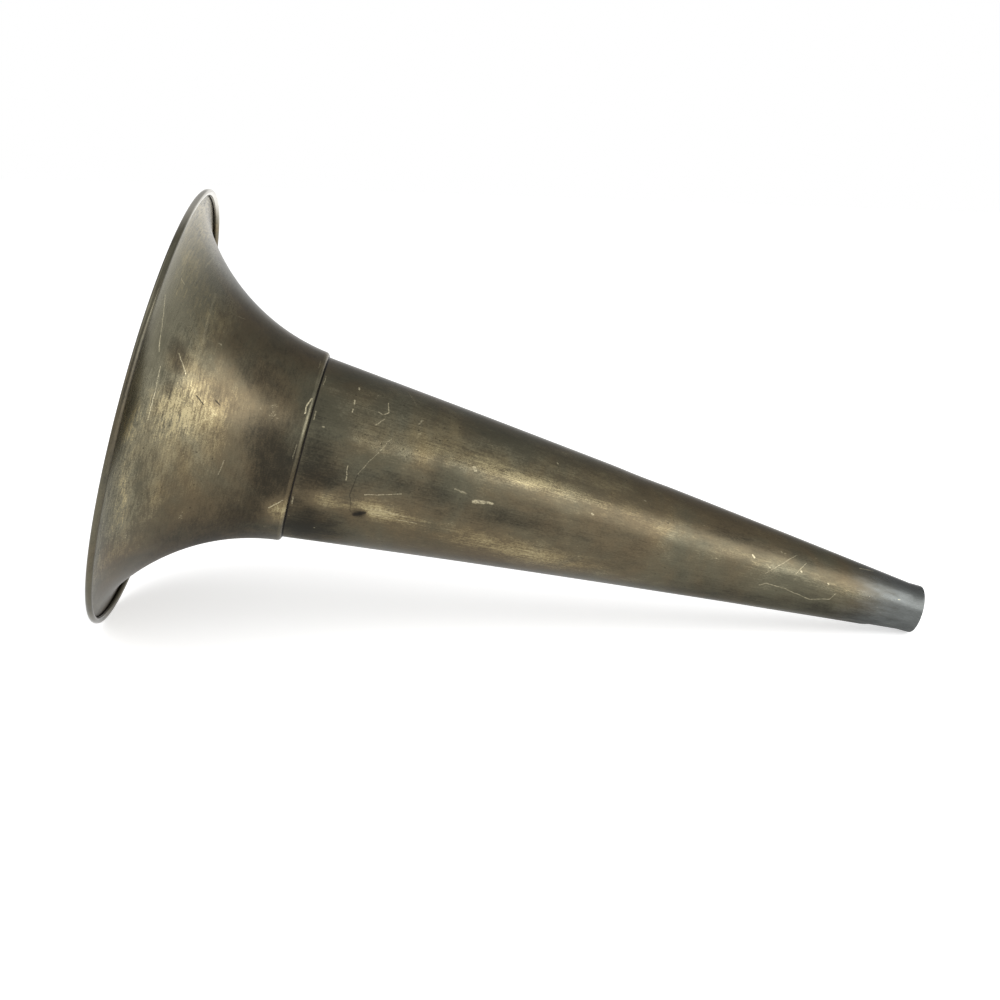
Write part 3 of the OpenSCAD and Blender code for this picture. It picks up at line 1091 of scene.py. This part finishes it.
class HORN_OT_cone(bpy.types.Operator):
    """Roll the cone, with the raised lap of its seam underneath and its straight nipple"""

    bl_idname = "horn.cone"
    bl_label = "Cone"

    def execute(self, context):
        sizes = context.scene.horn_sizes
        neck_r = float(cone_radius(sizes, sizes.bell_length))
        fall = math.sin(cone_slope(sizes))
        slant = 1 / math.cos(cone_slope(sizes))
        stain = (nipple_start(sizes) - sizes.bell_length) * slant - STAIN_LENGTH
        look = SheetLook(
            streak_steps=(100, 100, 80), mottle_steps=(7, 7, 110),
            grain_steps=(42, 42, 950), radius_at=lambda run: neck_r - fall * run,
            scratches=CONE_SCRATCHES, gouges=CONE_GOUGES, rubbed_edges=(),
            # Painted shade along the joint where the cone leaves the neck
            polished_edges=(), painted_crease_shade=((-sizes.overlap, 0.3 * MM),), stain_run=stain)
        brass = brass_finish("rolled_brass", context.scene.horn_finish, look)
        mesh = bpy.data.meshes.new("rolled_cone")
        piece = linked(context, "rolled_cone", mesh)
        self.weave(sizes, mesh, *self.section(sizes))
        mesh.materials.append(brass)
        press_dents(mesh, CONE_DENTS)
        paint(mesh, WEAR_AND_SHADE, CONE_WEAR_AND_SHADE)
        paint(mesh, COOL, CONE_COOL)
        face_outwards(mesh)
        mesh.shade_smooth()
        place_piece(piece, "cone")
        return {"FINISHED"}

    def section(self, sizes):
        """Closed section of the cone's sheet, from its wide end to the nipple and back inside."""
        start = sizes.bell_length - sizes.overlap + sizes.sheet / 2
        bend = nipple_start(sizes)
        end = sizes.horn_length - sizes.sheet / 2
        outer_z, inner_z = (
            np.concatenate([np.linspace(start, bend, rings), np.linspace(bend, end, end_rings)[1:]])
            for rings, end_rings in (OUTER_RINGS, INNER_RINGS))
        wall = sizes.sheet / math.cos(cone_slope(sizes))
        outer = np.stack([cone_radius(sizes, outer_z), outer_z], 1)
        inner = np.stack([cone_radius(sizes, inner_z) - wall, inner_z], 1)
        points, runs, flags = close_sheet(outer, inner)
        hidden = sizes.overlap / math.cos(cone_slope(sizes))
        return points, runs - hidden, flags

    def weave(self, sizes, mesh, rows, runs, flags):
        """Rings of vertices whose columns keep to the seam's edges, with the lap raised on the outside."""
        half = sizes.seam_width / 2
        corner = 0.12 * MM
        ramp = 2 * MM
        lap = np.concatenate([[-2 * half], np.linspace(-1.6 * half, half - 2 * corner, LAP_COLUMNS),
                              [half - corner, half - corner / 3, half, half + corner / 2]])
        height = np.clip((lap + 2 * half) / half, 0, 1)
        height[-4:] = (1, 0.85, 0.15, 0)
        rest = np.linspace(0, 1, sizes.segments - len(lap) + 2)[1:-1]
        low, high = seam_ends(sizes)
        points, lathe = [], []
        for (r, z), run, flag in zip(rows, runs, flags):
            across = np.arcsin(lap / r)
            open_turn = 2 * math.pi + across[0] - across[-1]
            angles = np.concatenate([across, across[-1] + rest * open_turn])
            lifted = np.clip(min(z - low, high - z) / ramp, 0, 1) * (1 - flag) * sizes.sheet
            lift = np.concatenate([height * lifted, np.zeros(len(rest))])
            # Seam angles count from the underside, and the columns go round from there
            for angle, radius in zip(math.pi / 2 + angles, r + lift):
                x, y = math.cos(angle), math.sin(angle)
                wave = noise.noise(Vector((x * radius, y * radius, z)) * CONE_WAVES + CONE_WAVE_START)
                worked = radius - sizes.waviness * (0.5 + 0.5 * wave)
                points.append((x * worked, y * worked - cone_bow(sizes, z), z))
                lathe.append((x, -y, run))
        columns = len(lap) + len(rest)
        mesh.from_pydata(points, [], woven_faces(len(rows), columns))
        attribute = mesh.attributes.new(LATHE, "FLOAT_VECTOR", "POINT")
        attribute.data.foreach_set("vector", np.array(lathe, np.float32).ravel())
        put_values(mesh, INNER, np.repeat(flags, columns))


class HORN_OT_joint_solder(bpy.types.Operator):
    """Run the ring of solder between the neck and the cone"""

    bl_idname = "horn.joint_solder"
    bl_label = "Joint Solder"

    def execute(self, context):
        sizes = context.scene.horn_sizes
        curves = BellCurves(sizes)
        depth = sizes.sheet + sizes.solder_play
        start = sizes.bell_length - sizes.overlap
        outer = arc(curves.neck_arc_c, curves.neck_arc_r + depth, math.pi + curves.slope,
                    math.pi + curves.neck_end_angle(start, depth), JOINT_STEPS)
        inner_z = np.linspace(start, curves.turn_z, JOINT_STEPS)
        inner = np.stack([cone_radius(sizes, inner_z) + sizes.solder_play, inner_z], 1)
        solder = dull_metal("old_solder", context.scene.horn_finish.solder, roughness=0.45, scale=300.0)
        ring = np.concatenate([outer, inner])
        piece = turned_piece(context, "joint_solder_ring", plain_section(ring), solder)
        place_piece(piece, "joint_solder")
        return {"FINISHED"}


class HORN_OT_seam_solder(bpy.types.Operator):
    """Run the solder along the open edge of the seam's lap"""

    bl_idname = "horn.seam_solder"
    bl_label = "Seam Solder"

    def execute(self, context):
        sizes = context.scene.horn_sizes
        low, high = seam_ends(sizes)
        start = sizes.seam_width / 2 + sizes.solder_play
        stations = np.linspace(low, high, SEAM_STATIONS)
        sides = SEAM_SIDES
        points = []
        for z in stations:
            r = float(cone_radius(sizes, z)) + sizes.solder_play
            lump = 0.5 + 0.5 * noise.noise(Vector((0, 0, z * LUMPS_PER_METRE)))
            end = min(1, math.sqrt(max(min(z - low, high - z), 0) / SOLDER_TAPER) + SOLDER_BLUNT)
            width = (sizes.solder_width - sizes.solder_play) * (0.75 + 0.25 * lump) * end
            height = (sizes.solder_height - sizes.solder_play) * (0.7 + 0.3 * lump) * end
            for k in range(sides):
                a = 2 * math.pi * k / sides
                across = start + width * (0.5 - 0.5 * math.cos(a))
                out = r + height * (0.5 + 0.5 * math.sin(a))
                points.append((-across, math.sqrt(out * out - across * across) - cone_bow(sizes, z), z))
        last = (len(stations) - 1) * sides
        faces = woven_faces(len(stations), sides)[:last]
        faces.append(tuple(range(sides)))
        faces.append(tuple(range(last, last + sides)))
        mesh = bpy.data.meshes.new("seam_solder_run")
        mesh.from_pydata(points, [], faces)
        mesh.materials.append(bpy.data.materials["old_solder"])
        face_outwards(mesh)
        mesh.shade_smooth()
        place_piece(linked(context, "seam_solder_run", mesh), "seam_solder")
        return {"FINISHED"}


# Half of the table's side, distances between which its glow changes, the height and distance of the lamps,
# heights of the backdrop's top and the ceiling's edge, and where the ceiling dims towards the back
TABLE_HALF = 6.0
GLOW_REACH = (0.3, 0.9)
LAMP_AIM = Vector((0, 0, 0.06))
LAMP_DISTANCE = 1.1
BACKDROP_TOP = math.sin(math.radians(6))
CEILING_EDGE = math.sin(math.radians(20))
CEILING_TURNS = (-0.1, 0.6)


def direction(azimuth, elevation):
    """Direction at a turn from straight in front and a height above the table."""
    level = math.cos(elevation)
    return Vector((math.sin(azimuth) * level, -math.cos(azimuth) * level, math.sin(elevation)))


class HORN_OT_stage(bpy.types.Operator):
    """Set the white table, the soft light and the camera"""

    bl_idname = "horn.stage"
    bl_label = "Stage"

    def execute(self, context):
        stage = context.scene.horn_stage
        self.floor(context, stage)
        self.light(context, stage)
        self.camera(context, stage)
        context.scene.view_settings.view_transform = "Standard"
        return {"FINISHED"}

    def floor(self, context, stage):
        mesh = bpy.data.meshes.new("table")
        corners = ((-1, -1), (1, -1), (1, 1), (-1, 1))
        mesh.from_pydata([(x * TABLE_HALF, y * TABLE_HALF, 0) for x, y in corners], [], [(0, 1, 2, 3)])
        material = bpy.data.materials.new("white_table")
        material.use_nodes = True
        tree = material.node_tree
        rays = add_node(tree, "ShaderNodeLightPath").outputs
        seen = math_node(tree, "MAXIMUM", rays["Is Camera Ray"], rays["Is Glossy Ray"])
        seen = math_node(tree, "MAXIMUM", seen, rays["Is Transmission Ray"])
        place = add_node(tree, "ShaderNodeTexCoord").outputs["Object"]
        away = vector_node(tree, "LENGTH", place)
        glow = remap(tree, away, *GLOW_REACH, stage.near_glow, stage.far_glow)
        set_inputs(tree, tree.nodes["Principled BSDF"],
                   {"Base Color": (*stage.floor_colour, 1), "Roughness": 1.0,
                    "Specular IOR Level": 0.0, "Emission Color": (1, 1, 1, 1),
                    "Emission Strength": times(tree, seen, glow)})
        mesh.materials.append(material)
        table = linked(context, "table", mesh)

    def light(self, context, stage):
        world = bpy.data.worlds.new("white_room")
        world.use_nodes = True
        tree = world.node_tree
        sky = add_node(tree, "ShaderNodeTexCoord").outputs["Generated"]
        parts = split(tree, sky)
        ceiling = remap(tree, parts["Y"], *CEILING_TURNS, stage.ceiling_front, stage.ceiling_back)
        strength = remap(tree, parts["Z"], BACKDROP_TOP, CEILING_EDGE, 1.0, ceiling)
        set_inputs(tree, tree.nodes["Background"], {"Color": (1, 1, 1, 1), "Strength": strength})
        context.scene.world = world
        self.soft_lamp(context, "softbox", azimuth=55, elevation=20, size=(1.2, 0.7),
                       power=stage.softbox_power)
        self.soft_lamp(context, "fill", azimuth=-75, elevation=40, size=(1.0, 1.0),
                       power=stage.fill_power)

    def soft_lamp(self, context, name, azimuth, elevation, size, power):
        """A wide lamp that faces the horn, at a turn from straight in front and a height, in degrees."""
        lamp = bpy.data.lights.new(name, "AREA")
        lamp.shape = "RECTANGLE"
        lamp.size, lamp.size_y = size
        lamp.energy = power
        holder = linked(context, name, lamp)
        away = direction(math.radians(azimuth), math.radians(elevation))
        holder.location = LAMP_AIM + away * LAMP_DISTANCE
        holder.rotation_euler = (-away).to_track_quat("-Z", "Y").to_euler()

    def camera(self, context, stage):
        data = bpy.data.cameras.new("camera")
        data.lens = stage.lens
        camera = linked(context, "camera", data)
        away = direction(stage.azimuth, stage.elevation)
        look = (-away).to_track_quat("-Z", "Y").to_matrix().to_4x4()
        camera.matrix_world = (Matrix.Translation(Vector(stage.aim) + away * stage.distance) @ look
                               @ Matrix.Rotation(stage.roll, 4, "Z"))
        context.scene.camera = camera


OPERATORS = (HORN_OT_bell, HORN_OT_rim_wire, HORN_OT_cone, HORN_OT_joint_solder,
             HORN_OT_seam_solder, HORN_OT_stage)


class HORN_PT_panel(bpy.types.Panel):
    """Lists the horn's pieces and its stage"""

    bl_idname = "HORN_PT_panel"
    bl_label = "Phonograph Horn"
    bl_space_type = "VIEW_3D"
    bl_region_type = "UI"
    bl_category = "Horn"

    def draw(self, context):
        for operator in OPERATORS:
            self.layout.operator(operator.bl_idname)


GROUPS = (("horn_sizes", HornSizes), ("horn_finish", HornFinish), ("horn_stage", HornStage))


def register():
    for name, group in GROUPS:
        bpy.utils.register_class(group)
        setattr(bpy.types.Scene, name, PointerProperty(type=group))
    for shown in (*OPERATORS, HORN_PT_panel):
        bpy.utils.register_class(shown)


def unregister():
    for shown in (HORN_PT_panel, *reversed(OPERATORS)):
        bpy.utils.unregister_class(shown)
    for name, group in reversed(GROUPS):
        delattr(bpy.types.Scene, name)
        bpy.utils.unregister_class(group)


def main():
    register()
    bpy.ops.horn.stage()
    bpy.ops.horn.bell()
    bpy.ops.horn.rim_wire()
    bpy.ops.horn.cone()
    bpy.ops.horn.joint_solder()
    bpy.ops.horn.seam_solder()


if __name__ == "__main__":
    main()
